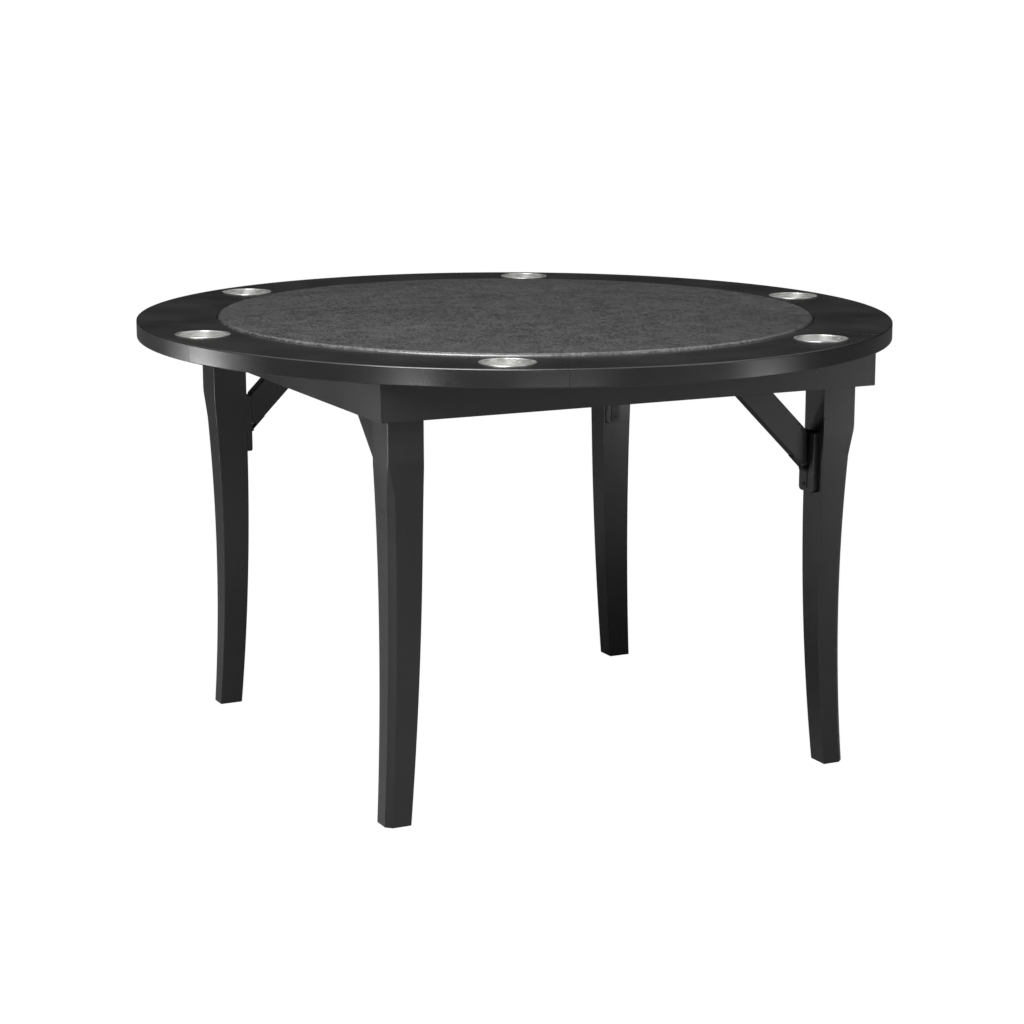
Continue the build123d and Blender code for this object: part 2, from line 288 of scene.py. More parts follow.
lacquer_along_x = black_lacquer("black lacquered rubberwood along x", (0, 0, 0))
lacquer_along_y = black_lacquer("black lacquered rubberwood along y", (0, 0, radians(90)))
lacquer_upright = black_lacquer("black lacquered rubberwood upright", (0, radians(90), 0))
lacquer_round = black_lacquer("black lacquered rubberwood round the rim", (0, 0, radians(45)))
lacquer_brace = [
    black_lacquer("black lacquered rubberwood brace along y", (0, radians(-45), radians(90))),
    black_lacquer("black lacquered rubberwood brace along x", (0, radians(-45), 0)),
]
print("lacquer in", 4 + len(lacquer_brace), "grain directions")

# %% [markdown]
# ## Faux leather
# The playing surface is polyurethane faux leather: a fabric coated and embossed with
# a fine pebble grain about a millimetre across. The film is charcoal and mottled where
# the coating varies, and shade is painted into the grain's valleys, so that the crowns
# look lighter. It has a low sheen that turns to a bright line where the edge rolls
# over. Cells with soft borders give the pebbles and the mask of the painted valley
# shade, and two sizes of noise give the mottle, which one size alone would make look
# like cloud or like sand.

# %% Faux leather
pebble_size = 2.2 * mm     # real grain is near 1 mm; drawn coarser so that it shows
mottle_size = 34 * mm
fleck_size = 5 * mm
fleck_share = 0.7          # how much of the mottle is the small flecks
wear_size = 200 * mm       # broad patches where hands have polished the film


def faux_leather():
    """Embossed charcoal film with a mottle, painted shade in the grain's valleys, and a low sheen."""
    material, tree = material_sheet("charcoal faux leather")
    place = add(tree, "ShaderNodeTexCoord").outputs["Object"]
    pebble = add(tree, "ShaderNodeTexVoronoi", {
        "Vector": place, "Scale": 1 / pebble_size,
    }, feature="DISTANCE_TO_EDGE")
    # the pebbles' height: it drives the bump, and it is also the mask of the painted valley shade
    crown = add(tree, "ShaderNodeMapRange", {
        "Value": pebble.outputs["Distance"], "From Min": 0.0, "From Max": 0.35,
    })
    mottle = add(tree, "ShaderNodeTexNoise", {
        "Vector": place, "Scale": 1 / mottle_size, "Detail": 6.0, "Roughness": 0.7,
    })
    wear = add(tree, "ShaderNodeTexNoise", {"Vector": place, "Scale": 1 / wear_size, "Detail": 2.0})
    fleck = add(tree, "ShaderNodeTexNoise", {
        "Vector": place, "Scale": 1 / fleck_size, "Detail": 3.0, "Roughness": 0.7,
    })
    blotch = add(tree, "ShaderNodeMix", {
        0: fleck_share, 2: mottle.outputs["Fac"], 3: fleck.outputs["Fac"],
    }, data_type="FLOAT")
    tone = add(tree, "ShaderNodeMapRange", {
        "Value": blotch.outputs[0], "From Min": 0.42, "From Max": 0.58,
    })
    film = add(tree, "ShaderNodeMix", {
        0: tone.outputs["Result"], 6: linear("#181818"), 7: linear("#696969"),
    }, data_type="RGBA")
    # painted shade: the colour is darkened in the valleys between the pebbles, where shade would fall, and
    # left full on the crowns
    painted_valley_shade = add(tree, "ShaderNodeMix", {
        0: crown.outputs["Result"], 6: linear("#7E7E7E"), 7: linear("#FFFFFF"),
    }, data_type="RGBA")
    colour = add(tree, "ShaderNodeMix", {
        0: 1.0, 6: film.outputs[2], 7: painted_valley_shade.outputs[2],
    }, data_type="RGBA", blend_type="MULTIPLY")
    gloss = add(tree, "ShaderNodeMapRange", {
        "Value": wear.outputs["Fac"], "From Min": 0.3, "From Max": 0.7, "To Min": 0.36, "To Max": 0.44,
    })
    bump = add(tree, "ShaderNodeBump", {
        "Height": crown.outputs["Result"], "Strength": 0.5, "Distance": 0.12 * mm,
    })
    shader = add(tree, "ShaderNodeBsdfPrincipled", {
        "Base Color": colour.outputs[2], "Roughness": gloss.outputs["Result"],
        "Normal": bump.outputs["Normal"], "IOR": 1.5,
        "Coat Weight": 0.7, "Coat Roughness": 0.24,
    })
    add(tree, "ShaderNodeOutputMaterial", {"Surface": shader.outputs["BSDF"]})
    return material


leather = faux_leather()
print("leather with a pebble of", round(pebble_size / mm, 1), "mm")

# %% [markdown]
# ## Spun stainless steel
# The cups are spun from stainless sheet, which leaves fine rings round the axis. Rings
# could be drawn about a point in space, but six cups have six middles. Each cup's
# mesh carries its own "lathe" value instead, which grows outwards and downwards from
# its middle, so that one material draws rings on all six cups wherever they stand.

# %% Spun stainless steel
ring_width = 0.7 * mm      # the tool's feed is finer; drawn coarser so that it shows
smear_size = 16.7 * mm     # where fingers have touched the metal


def spun_stainless():
    """Bright sheet with rings from the spinning tool."""
    material, tree = material_sheet("spun stainless steel")
    lathe = add(tree, "ShaderNodeAttribute", attribute_name="lathe")
    rings = add(tree, "ShaderNodeTexNoise", {
        "W": lathe.outputs["Fac"], "Scale": 1 / ring_width, "Detail": 3.0, "Roughness": 0.7,
    }, noise_dimensions="1D")
    place = add(tree, "ShaderNodeTexCoord").outputs["Object"]
    smear = add(tree, "ShaderNodeTexNoise", {"Vector": place, "Scale": 1 / smear_size, "Detail": 3.0})
    colour = add(tree, "ShaderNodeMix", {
        0: rings.outputs["Fac"], 6: linear("#C6C6C4"), 7: linear("#EEEEEC"),
    }, data_type="RGBA")
    gloss = add(tree, "ShaderNodeMapRange", {
        "Value": smear.outputs["Fac"], "From Min": 0.3, "From Max": 0.7, "To Min": 0.28, "To Max": 0.4,
    })
    bump = add(tree, "ShaderNodeBump", {
        "Height": rings.outputs["Fac"], "Strength": 0.35, "Distance": 0.03 * mm,
    })
    shader = add(tree, "ShaderNodeBsdfPrincipled", {
        "Base Color": colour.outputs[2], "Metallic": 1.0, "Roughness": gloss.outputs["Result"],
        "Normal": bump.outputs["Normal"],
    })
    add(tree, "ShaderNodeOutputMaterial", {"Surface": shader.outputs["BSDF"]})
    return material


stainless = spun_stainless()
print("steel with rings of", round(ring_width / mm, 1), "mm")

# %% [markdown]
# ## The plain finishes underneath
# The leg hinges are zinc-plated steel, cool grey with cloudy passivation. The small
# brace hinges, the keepers and the screws have black oxide, a dull blue-black. The
# panel and the board under the padding are plywood with a thin black stain that lets
# the grain show. The glides are moulded nylon with a fine matt texture. All four
# drift in colour and gloss over patches of one size, so one recipe makes them.

# %% Zinc, black oxide, stained plywood and nylon
def mottled(name, dark, light, patch, metallic, rough_low, rough_high, stretch=(1, 1, 1)):
    """A surface whose colour and gloss drift over patches of one real size."""
    material, tree = material_sheet(name)
    place = add(tree, "ShaderNodeTexCoord").outputs["Object"]
    scaled = add(tree, "ShaderNodeMapping", {"Vector": place, "Scale": stretch})
    drift = add(tree, "ShaderNodeTexNoise", {
        "Vector": scaled.outputs["Vector"], "Scale": 1 / patch, "Detail": 5.0, "Roughness": 0.65,
    })
    colour = add(tree, "ShaderNodeMix", {
        0: drift.outputs["Fac"], 6: linear(dark), 7: linear(light),
    }, data_type="RGBA")
    gloss = add(tree, "ShaderNodeMapRange", {
        "Value": drift.outputs["Fac"], "From Min": 0.3, "From Max": 0.7,
        "To Min": rough_low, "To Max": rough_high,
    })
    bump = add(tree, "ShaderNodeBump", {
        "Height": drift.outputs["Fac"], "Strength": 0.25, "Distance": 0.08 * mm,
    })
    shader = add(tree, "ShaderNodeBsdfPrincipled", {
        "Base Color": colour.outputs[2], "Metallic": metallic,
        "Roughness": gloss.outputs["Result"], "Normal": bump.outputs["Normal"],
    })
    add(tree, "ShaderNodeOutputMaterial", {"Surface": shader.outputs["BSDF"]})
    return material


zinc_plate = mottled("zinc plated steel", "#8A8C90", "#B4B6B8", 4 * mm, 1.0, 0.3, 0.42)
black_oxide = mottled("black oxide steel", "#3A3A3B", "#4E4E4F", 2 * mm, 1.0, 0.35, 0.5)
along_the_grain = (0.04, 1, 1)
stained_plywood = mottled(
    "black stained plywood", "#120F0D", "#2B2622", 3 * mm, 0.0, 0.5, 0.65, along_the_grain
)
moulded_nylon = mottled("moulded black nylon", "#161616", "#202020", 1 * mm, 0.0, 0.5, 0.6)
print("materials", [material.name for material in (zinc_plate, black_oxide, stained_plywood, moulded_nylon)])

# %% [markdown]
# ## The rim
# The rim is six curved segments butted end to end, each with one cup hole, so that a
# straight board can make each of them. A ring cut into six would need its seams
# closed again, so the section is drawn as a flat plate, its rebate for the panel is
# cut away, and it is spun through a sixth of a turn, as a cutter would travel. The
# band's two edges get a wide rounding, the hole is drilled, and every edge left is
# eased a little, which also opens the fine V at each seam. One segment is modelled
# and turned five times.

# %% Rim segments
segments = 6
sixth_turn = radians(360 / segments)
rim_low, rim_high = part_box("rim_segment_1")[0].z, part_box("rim_segment_1")[1].z
rim_out = max(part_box("rim_segment_%d" % (number + 1))[1].x for number in range(segments))
rim_in = 523 * mm
panel_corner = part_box("top_panel")[1]
panel_room = 0.3 * mm      # the rebate is this much larger than the panel
rebate_out = panel_corner.x + panel_room
rebate_top = panel_corner.z + panel_room
first_seam = radians(11)
seam_half_gap = 0.14 * mm / rim_out
cup_circle = 590 * mm
first_cup = radians(2.6)
hole_radius = 40 * mm
band_round = 2.4 * mm
eased_edge = 0.16 * mm
on_the_spot = 0.1 * mm     # closer than this counts as the same place


def rim_segment():
    """The segment that starts at the first seam."""
    bpy.ops.object.select_all(action="DESELECT")
    bpy.ops.mesh.primitive_plane_add(size=1, location=(0, 0, 0))
    piece = take(bpy.context.object)
    bpy.ops.object.mode_set(mode="EDIT")
    bpy.ops.mesh.select_all(action="SELECT")
    bpy.ops.transform.resize(value=(rim_out - rim_in, rim_high - rim_low, 1))
    bpy.ops.transform.rotate(value=radians(-90), orient_axis="X", center_override=(0, 0, 0))
    bpy.ops.transform.translate(value=((rim_out + rim_in) / 2, 0, (rim_high + rim_low) / 2))
    bpy.ops.mesh.bisect(plane_co=(rebate_out, 0, 0), plane_no=(1, 0, 0))
    bpy.ops.mesh.select_all(action="SELECT")
    bpy.ops.mesh.bisect(plane_co=(0, 0, rebate_top), plane_no=(0, 0, 1))
    pick("FACE", lambda c, n: c.x < rebate_out and c.z < rebate_top)
    bpy.ops.mesh.delete(type="FACE")
    bpy.ops.mesh.select_all(action="SELECT")
    bpy.ops.transform.rotate(
        value=-(first_seam + seam_half_gap), orient_axis="Z", center_override=(0, 0, 0)
    )
    bpy.ops.mesh.spin(
        steps=48, angle=-(sixth_turn - 2 * seam_half_gap), center=(0, 0, 0), axis=(0, 0, 1)
    )
    bpy.ops.mesh.select_all(action="SELECT")
    bpy.ops.mesh.remove_doubles(threshold=0.01 * mm)
    bpy.ops.mesh.dissolve_limited(angle_limit=radians(0.1))
    bpy.ops.mesh.normals_make_consistent(inside=False)

    def on_band_edge(a, b):
        return all(
            abs(hypot(p.x, p.y) - rim_out) < on_the_spot
            and min(abs(p.z - rim_low), abs(p.z - rim_high)) < on_the_spot
            for p in (a, b)
        ) and abs(a.z - b.z) < on_the_spot

    pick("EDGE", on_band_edge)
    bpy.ops.mesh.bevel(offset=band_round, segments=5, affect="EDGES")
    bpy.ops.object.mode_set(mode="OBJECT")
    hole_turn = first_cup + sixth_turn
    middle = (cup_circle * cos(hole_turn), cup_circle * sin(hole_turn))
    drill(piece, middle, hole_radius, rim_low - 5 * mm, rim_high + 5 * mm)
    soften(piece, eased_edge, segments=2, angle=35)
    return piece


segment = rim_segment()
for number in range(segments):
    piece = segment if number == 0 else turned_copy(segment, sixth_turn * number)
    name = "rim_segment_%d" % (number + 1)
    put_on(piece, "rim_board_%d" % (number + 1), lacquer_round, "table_top", [name])
print("rim boards", len(segment.data.polygons), "faces each")

# %% [markdown]
# ## The cup holders
# Each cup is one sheet of steel, spun up from a disc, with a flange that rests on the
# rim and a ring pressed into its floor. A cylinder given a wall would have square
# corners, so the modelling works as the spinner does: a disc at the underside is
# extruded ring by ring along the section, out round the lower corner, up the wall,
# out under the flange, over its rolled lip, back in, down the inside and across the
# floor. One cup is modelled and turned five times. The "lathe" value is written on
# the first and goes with every copy.

# %% Cups
cup_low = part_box("cup_holder_1")[0].z
flange_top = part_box("cup_holder_1")[1].z
sheet = 0.8 * mm
bore = 38.8 * mm
flange_radius = 45.5 * mm
cup_corner = 6 * mm
lip = 0.6 * mm
mouth_round = 0.7 * mm
bead_out, bead_in = 22 * mm, 20 * mm
bead_rise, bead_slope = 0.5 * mm, 0.6 * mm
blank_radius = 12 * mm     # the flat disc that the spinning starts from
last_radius = 1 * mm       # the floor closes with a disc this small


def cup_section():
    """The section's points from the underside's middle, round and back inside."""
    outer = bore + sheet
    base = cup_low + sheet
    inner_corner = cup_corner - sheet
    points = [(blank_radius, cup_low)]
    points += arc(outer - cup_corner, cup_low + cup_corner, cup_corner, -90, 0, 8)
    points += [(outer, rim_high - 1 * mm), (outer, rim_high), (flange_radius - lip / 2, rim_high)]
    points += arc(flange_radius - lip, rim_high + lip, lip, -30, 90, 5)
    points += arc(bore + mouth_round, flange_top - mouth_round, mouth_round, 90, 180, 4)
    points += [(bore, rim_high - 8 * mm), (bore, rim_high - 9 * mm)]
    points += arc(bore - inner_corner, base + inner_corner, inner_corner, 0, -90, 8)
    points += [(bead_out, base), (bead_out - bead_slope, base + bead_rise)]
    points += [(bead_in + bead_slope, base + bead_rise), (bead_in, base)]
    points += [(blank_radius, base), (last_radius, base)]
    return points


def spun_cup():
    """Spin the sheet up, write the lathe value, and set the cup in the first hole."""
    section = cup_section()
    radius, height = section[0]
    bpy.ops.object.select_all(action="DESELECT")
    bpy.ops.mesh.primitive_circle_add(
        vertices=96, radius=radius, fill_type="NGON", location=(0, 0, height)
    )
    piece = take(bpy.context.object)
    bpy.ops.object.mode_set(mode="EDIT")
    bpy.ops.mesh.select_all(action="SELECT")
    push_along(section[1:], radius, height)
    keep_flats_flat(piece)
    lathe = piece.data.attributes.new("lathe", "FLOAT", "POINT")
    for index, vertex in enumerate(piece.data.vertices):
        lathe.data[index].value = hypot(vertex.co.x, vertex.co.y) - vertex.co.z
    piece.location = (cup_circle * cos(first_cup), cup_circle * sin(first_cup), 0)
    bpy.ops.object.transform_apply(location=True, rotation=True, scale=True)
    return piece


cup = spun_cup()
for number in range(segments):
    piece = cup if number == 0 else turned_copy(cup, sixth_turn * number)
    name = "cup_holder_%d" % (number + 1)
    put_on(piece, "cup_%d" % (number + 1), stainless, "table_top", [name])
print("cups", len(cup.data.polygons), "faces each")

# %% [markdown]
# ## The playing surface
# Faux leather is pulled over foam and stapled under a board, so the top is nearly
# flat, swells a little, and rolls over at the rim. A plain disc with a rounded edge
# looks like a lid. This one is pushed up along its section, side, rounded edge and
# rings towards the middle, and a short cloth simulation with air pressure and a
# pinned hem finds the shape that stretched fabric takes. Free cloth rises about four
# centimetres in it. Fabric over tight foam hardly crowns, so the whole move is scaled
# down until its largest part is a millimetre or so.

# %% Padded playing surface
pad_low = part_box("pad_cover")[0].z
fabric_rise = 1.4 * mm      # stretched fabric stands this proud of the engineering solid
pad_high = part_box("pad_cover")[1].z + fabric_rise
pad_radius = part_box("pad_cover")[1].x
edge_round = 6.2 * mm
side_ring = 3 * mm          # the first ring of the upright side
free_depth = 3 * mm         # what lies deeper than this under the top is pinned
edge_ring = 4 * mm          # rings next to the rounded edge, where the fabric bends
middle_radius = 4 * mm
inner_rings = 26
swell_cap = 1.2 * mm
last_frame = 20


def pad_form():
    """A closed disc with rings, a rounded edge and an upright side."""
    bpy.ops.object.select_all(action="DESELECT")
    bpy.ops.mesh.primitive_circle_add(
        vertices=288, radius=pad_radius, fill_type="NGON", location=(0, 0, pad_low)
    )
    piece = take(bpy.context.object)
    bpy.ops.object.mode_set(mode="EDIT")
    bpy.ops.mesh.select_all(action="SELECT")
    section = [(pad_radius, pad_low + side_ring)]
    section += arc(pad_radius - edge_round, pad_high - edge_round, edge_round, 0, 90, 12)
    section += [(pad_radius - edge_round - edge_ring * step, pad_high) for step in range(1, 4)]
    inner = section[-1][0]
    ring = (inner - middle_radius) / inner_rings
    section += [(inner - ring * step, pad_high) for step in range(1, inner_rings + 1)]
    push_along(section, pad_radius, pad_low)
    return piece


def swell(piece):
    """Blow the cloth up from inside, then scale the whole move down to the cap."""
    rest = [vertex.co.copy() for vertex in piece.data.vertices]
    hem = piece.vertex_groups.new(name="hem")
    pinned = [v.index for v in piece.data.vertices if v.co.z < pad_high - free_depth]
    hem.add(pinned, 1.0, "REPLACE")
    take(piece)
    cloth = piece.modifiers.new("swell", "CLOTH")
    cloth.settings.quality = 5
    cloth.settings.mass = 0.3
    cloth.settings.tension_stiffness = 40
    cloth.settings.compression_stiffness = 40
    cloth.settings.bending_stiffness = 5
    cloth.settings.use_pressure = True
    cloth.settings.uniform_pressure_force = 4
    cloth.settings.vertex_group_mass = "hem"
    cloth.settings.effector_weights.gravity = 0
    cloth.point_cache.frame_start, cloth.point_cache.frame_end = 1, last_frame
    for step in range(1, last_frame + 1):
        bpy.context.scene.frame_set(step)
    bpy.ops.object.modifier_apply(modifier="swell")
    bpy.context.scene.frame_set(1)
    largest = max((v.co - p).length for v, p in zip(piece.data.vertices, rest))
    share = min(1.0, swell_cap / largest) if largest > 0 else 0
    for vertex, place in zip(piece.data.vertices, rest):
        vertex.co = place + (vertex.co - place) * share
    return largest


pad = pad_form()
print("cloth moved at most", round(swell(pad) / mm, 2), "mm before it was scaled down")
take(pad)
bpy.ops.object.shade_smooth_by_angle(angle=smooth_below)
put_on(pad, "playing_surface", leather, "table_top", ["pad_cover", "pad_foam"])
print("playing surface", len(pad.data.polygons), "faces")

# %% [markdown]
# ## The apron
# The apron is the square frame under the top: four boards mitred at the corners. A
# square ring would have no joints to see, so each board is as long as its side and is
# cut at both ends along the diagonals, as on a mitre saw. Its edges are sanded, and
# two sanded mitres meet in a fine V.

# %% Apron boards
apron_low, apron_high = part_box("apron_front_left")
sanded_edge = 1.8 * mm


def board(low, high):
    """A sawn board between two corners, ready to be cut in edit mode."""
    bpy.ops.object.select_all(action="DESELECT")
    bpy.ops.mesh.primitive_cube_add(
        size=1, location=[(a + b) / 2 for a, b in zip(low, high)],
        scale=[b - a for a, b in zip(low, high)],
    )
    piece = take(bpy.context.object)
    bpy.ops.object.transform_apply(location=True, rotation=True, scale=True)
    return piece


def saw(point, towards):
    """In edit mode, cut off what lies beyond the plane and close the cut."""
    bpy.ops.mesh.select_all(action="SELECT")
    bpy.ops.mesh.bisect(plane_co=point, plane_no=towards, clear_outer=True, use_fill=True)


apron = board(apron_low, apron_high)
bpy.ops.object.mode_set(mode="EDIT")
saw((0, 0, 0), (1, 1, 0))
saw((0, 0, 0), (-1, 1, 0))
bpy.ops.object.mode_set(mode="OBJECT")
soften(apron, sanded_edge)
for piece, corner_name, angle in at_every_corner(apron):
    along = lacquer_along_x if angle % 180 == 0 else lacquer_along_y
    put_on(piece, "apron_board_" + corner_name, along, "table_top",
           ["apron_" + corner_name])
print("apron boards", len(apron.data.polygons), "faces each")

# %% [markdown]
# ## The sabre legs
# Each leg is sawn from a square post. It stays square at the top where it hinges,
# and below a shoulder its outer faces bow in to a waist and out again to the foot,
# while its inner faces taper. The outermost corner has a flat that fades out just
# below the apron. A straight post bent by a modifier would bend its inner faces too,
# so the post is extruded down section by section, and each section's faces are moved
# to where the two sawn curves put them.

# %% Legs
leg_low, leg_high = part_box("leg_front_left")
cap_x, cap_y = leg_high.x, leg_high.y
shoulder_z, taper_z, waist_z, foot_z = 590 * mm, 460 * mm, 300 * mm, leg_low.z
out_x, waist_x, foot_x, foot_in_x = -434 * mm, -427.6 * mm, -440 * mm, -397 * mm
out_y, waist_y, foot_y, foot_in_y = -431 * mm, -419 * mm, -425 * mm, -383 * mm
flat_top_z, flat_full_z, flat_width = 602 * mm, 545 * mm, 10 * mm
flat_heights = [575 * mm, 560 * mm, flat_full_z]     # sections where the flat widens
bow_steps = 22
leg_edge = 1.7 * mm


def bow(z, top, waist, foot):
    """Where the outer face is at a height: a circle through three points."""
    if z >= shoulder_z:
        return top
    (ax, az), (bx, bz), (cx, cz) = (top, shoulder_z), (waist, waist_z), (foot, foot_z)
    twice = 2 * (ax * (bz - cz) + bx * (cz - az) + cx * (az - bz))
    a2, b2, c2 = ax * ax + az * az, bx * bx + bz * bz, cx * cx + cz * cz
    centre_x = (a2 * (bz - cz) + b2 * (cz - az) + c2 * (az - bz)) / twice
    centre_z = (a2 * (cx - bx) + b2 * (ax - cx) + c2 * (bx - ax)) / twice
    radius = hypot(ax - centre_x, az - centre_z)
    side = 1 if waist > centre_x else -1
    return centre_x + side * sqrt(radius ** 2 - (z - centre_z) ** 2)


def taper(z, top, foot):
    """Where the inner face is: straight, then an arc tangent to it."""
    if z >= taper_z:
        return top
    reach, drop = foot - top, taper_z - foot_z
    radius = (reach ** 2 + drop ** 2) / (2 * abs(reach))
    side = 1 if reach > 0 else -1
    return top + side * (radius - sqrt(radius ** 2 - (taper_z - z) ** 2))


def flat_at(z):
    """Width of the flat on the outermost corner."""
    if z >= flat_top_z:
        return 0.0
    return flat_width * min(1.0, (flat_top_z - z) / (flat_top_z - flat_full_z))


def faces_at(z):
    """The section's four faces and its flat at a height."""
    return (
        bow(z, out_x, waist_x, foot_x), taper(z, cap_x, foot_in_x),
        bow(z, out_y, waist_y, foot_y), taper(z, cap_y, foot_in_y), flat_at(z),
    )


def near(a, b):
    """Whether two measures are the same but for rounding."""
    return abs(a - b) < 0.05 * mm


def shift(test, value):
    """In edit mode, move the verts whose place passes the test."""
    pick("VERT", test)
    bpy.ops.transform.translate(value=value)


def leg_post():
    """The block where the flat fades, extruded up to the hinge and down to the foot."""
    flat = flat_at(shoulder_z)
    piece = board((out_x, out_y, shoulder_z), (cap_x, cap_y, flat_top_z))
    bpy.ops.object.mode_set(mode="EDIT")
    pick("EDGE", lambda a, b: all(near(p.x, out_x) and near(p.y, out_y) for p in (a, b)))
    bpy.ops.mesh.bevel(offset=flat, segments=1, affect="EDGES")
    reach = 2 * flat
    pick("VERT", lambda p: near(p.z, flat_top_z) and p.x < out_x + reach and p.y < out_y + reach)
    bpy.ops.mesh.merge(type="CENTER")
    bpy.ops.transform.translate(value=(-flat / 2, -flat / 2, 0))
    pick("FACE", lambda c, n: near(c.z, flat_top_z) and n.z > 0.9)
    bpy.ops.mesh.extrude_region_move(
        TRANSFORM_OT_translate={"value": (0, 0, leg_high.z - flat_top_z)}
    )
    pick("FACE", lambda c, n: near(c.z, shoulder_z) and n.z < -0.9)
    drop = (foot_z - flat_full_z) / bow_steps
    heights = flat_heights + [flat_full_z + drop * step for step in range(1, bow_steps + 1)]
    before, level = faces_at(shoulder_z), shoulder_z
    for z in heights:
        after = faces_at(z)
        move_x, move_y = after[0] - before[0], after[2] - before[2]
        bpy.ops.mesh.extrude_region_move(
            TRANSFORM_OT_translate={"value": (move_x, move_y, z - level)}
        )
        in_x, in_y = before[1] + move_x, before[3] + move_y
        shift(lambda p: near(p.z, z) and near(p.x, in_x), (after[1] - in_x, 0, 0))
        shift(lambda p: near(p.z, z) and near(p.y, in_y), (0, after[3] - in_y, 0))
        widen = after[4] - before[4]
        if widen != 0:
            flat_x, flat_y = after[0] + before[4], after[2] + before[4]
            shift(lambda p: near(p.z, z) and near(p.y, after[2]) and near(p.x, flat_x), (widen, 0, 0))
            shift(lambda p: near(p.z, z) and near(p.x, after[0]) and near(p.y, flat_y), (0, widen, 0))
        pick("FACE", lambda c, n: near(c.z, z) and abs(n.z) > 0.9)
        before, level = after, z
    bpy.ops.mesh.select_all(action="SELECT")
    bpy.ops.mesh.normals_make_consistent(inside=False)
    bpy.ops.object.mode_set(mode="OBJECT")
    soften(piece, leg_edge, segments=3, angle=25)
    return piece


leg = leg_post()
for piece, corner_name, angle in at_every_corner(leg):
    put_on(piece, "sabre_leg_" + corner_name, lacquer_upright, "leg_assembly_" + corner_name,
           ["leg_" + corner_name])
print("legs", len(leg.data.polygons), "faces each")

# %% [markdown]
# ## Cleats and braces
# The cleat is a short board on the leg's fold side with its lower corners rounded. It
# carries the brace, a board on the slope that is cut upright where it meets the
# cleat, level under the top, and level again at its heel. A turned board would need
# four such cuts. A board as large as the brace's whole box already has its upright
# and level ends, so only the two sloping edges are sawn.

# %% Cleats and braces
cleat_low, cleat_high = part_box("leg_cleat_front_left")
brace_low, brace_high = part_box("brace_front_left")
cleat_corner, cleat_edge, brace_edge = 7 * mm, 0.8 * mm, 1.6 * mm
heel_run = 11.9 * mm        # level length at the heel
head_run = 67.9 * mm        # level length under the top
cleat = board(cleat_low, cleat_high)
bpy.ops.object.mode_set(mode="EDIT")
pick("EDGE", lambda a, b: near(a.z, cleat_low.z) and near(b.z, cleat_low.z) and near(a.x, b.x))
bpy.ops.mesh.bevel(offset=cleat_corner, segments=6, affect="EDGES")
bpy.ops.object.mode_set(mode="OBJECT")
soften(cleat, cleat_edge)

brace = board(brace_low, brace_high)
bpy.ops.object.mode_set(mode="EDIT")
saw((0, brace_low.y + heel_run, brace_low.z), (0, 1, -1))
saw((0, brace_high.y - head_run, brace_high.z), (0, -1, 1))
bpy.ops.object.mode_set(mode="OBJECT")
soften(brace, brace_edge)

for piece, corner_name, angle in at_every_corner(cleat):
    put_on(piece, "cleat_board_" + corner_name, lacquer_upright, "leg_assembly_" + corner_name,
           ["leg_cleat_" + corner_name])
for piece, corner_name, angle in at_every_corner(brace):
    along = lacquer_brace[angle % 180 // 90]
    put_on(piece, "brace_board_" + corner_name, along, "brace_assembly_" + corner_name,
           ["brace_" + corner_name])
print("cleats and braces", len(cleat.data.polygons), len(brace.data.polygons), "faces each")

# %% [markdown]
# ## Screws
# The keepers and cleats are held by small flat-headed screws with a cross recess.
# Painted crosses would vanish in a low light, so one head is modelled: a thin disc,
# its face dished a hair and the cross cut out of it. The copies on one body at one
# corner are joined into one piece.

# %% Screws
screw_radius = 3.2 * mm
head_height = 0.5 * mm
slot_length, slot_width = 3.6 * mm, 0.7 * mm


def screw():
    """A flat head facing up, half sunk, so that its middle is at zero height."""
    bpy.ops.object.select_all(action="DESELECT")
    bpy.ops.mesh.primitive_cylinder_add(
        vertices=24, radius=screw_radius, depth=head_height, location=(0, 0, 0)
    )
    piece = take(bpy.context.object)
    bpy.ops.object.mode_set(mode="EDIT")
    pick("FACE", lambda c, n: n.z > 0.9)
    bpy.ops.mesh.inset(thickness=0.4 * mm)
    bpy.ops.mesh.inset(thickness=0.9 * mm)
    bpy.ops.transform.translate(value=(0, 0, -0.05 * mm))
    bpy.ops.object.mode_set(mode="OBJECT")
    for turn in (0, 90):
        bpy.ops.object.select_all(action="DESELECT")
        bpy.ops.mesh.primitive_cube_add(
            size=1, location=(0, 0, head_height / 2), rotation=(0, 0, radians(turn)),
            scale=(slot_length, slot_width, slot_width),
        )
        cut_away(piece, bpy.context.object)
    bpy.ops.object.shade_smooth_by_angle(angle=smooth_below)
    return piece


model_screw = screw()


def screws(name, body, places, facing, angle):
    """Screws at places of the front left corner, turned to theirs and joined."""
    tip = Vector((0, 0, 1)).rotation_difference(Vector(facing)).to_matrix().to_4x4()
    made = []
    for place in places:
        copy = model_screw.copy()
        copy.data = model_screw.data.copy()
        copy.data.transform(Matrix.Rotation(angle, 4, "Z") @ Matrix.Translation(place) @ tip)
        bpy.context.collection.objects.link(copy)
        made.append(copy)
    bpy.ops.object.select_all(action="DESELECT")
    for copy in made:
        copy.select_set(True)
    bpy.context.view_layer.objects.active = made[0]
    bpy.ops.object.join()
    return put_on(bpy.context.object, name, black_oxide, body)


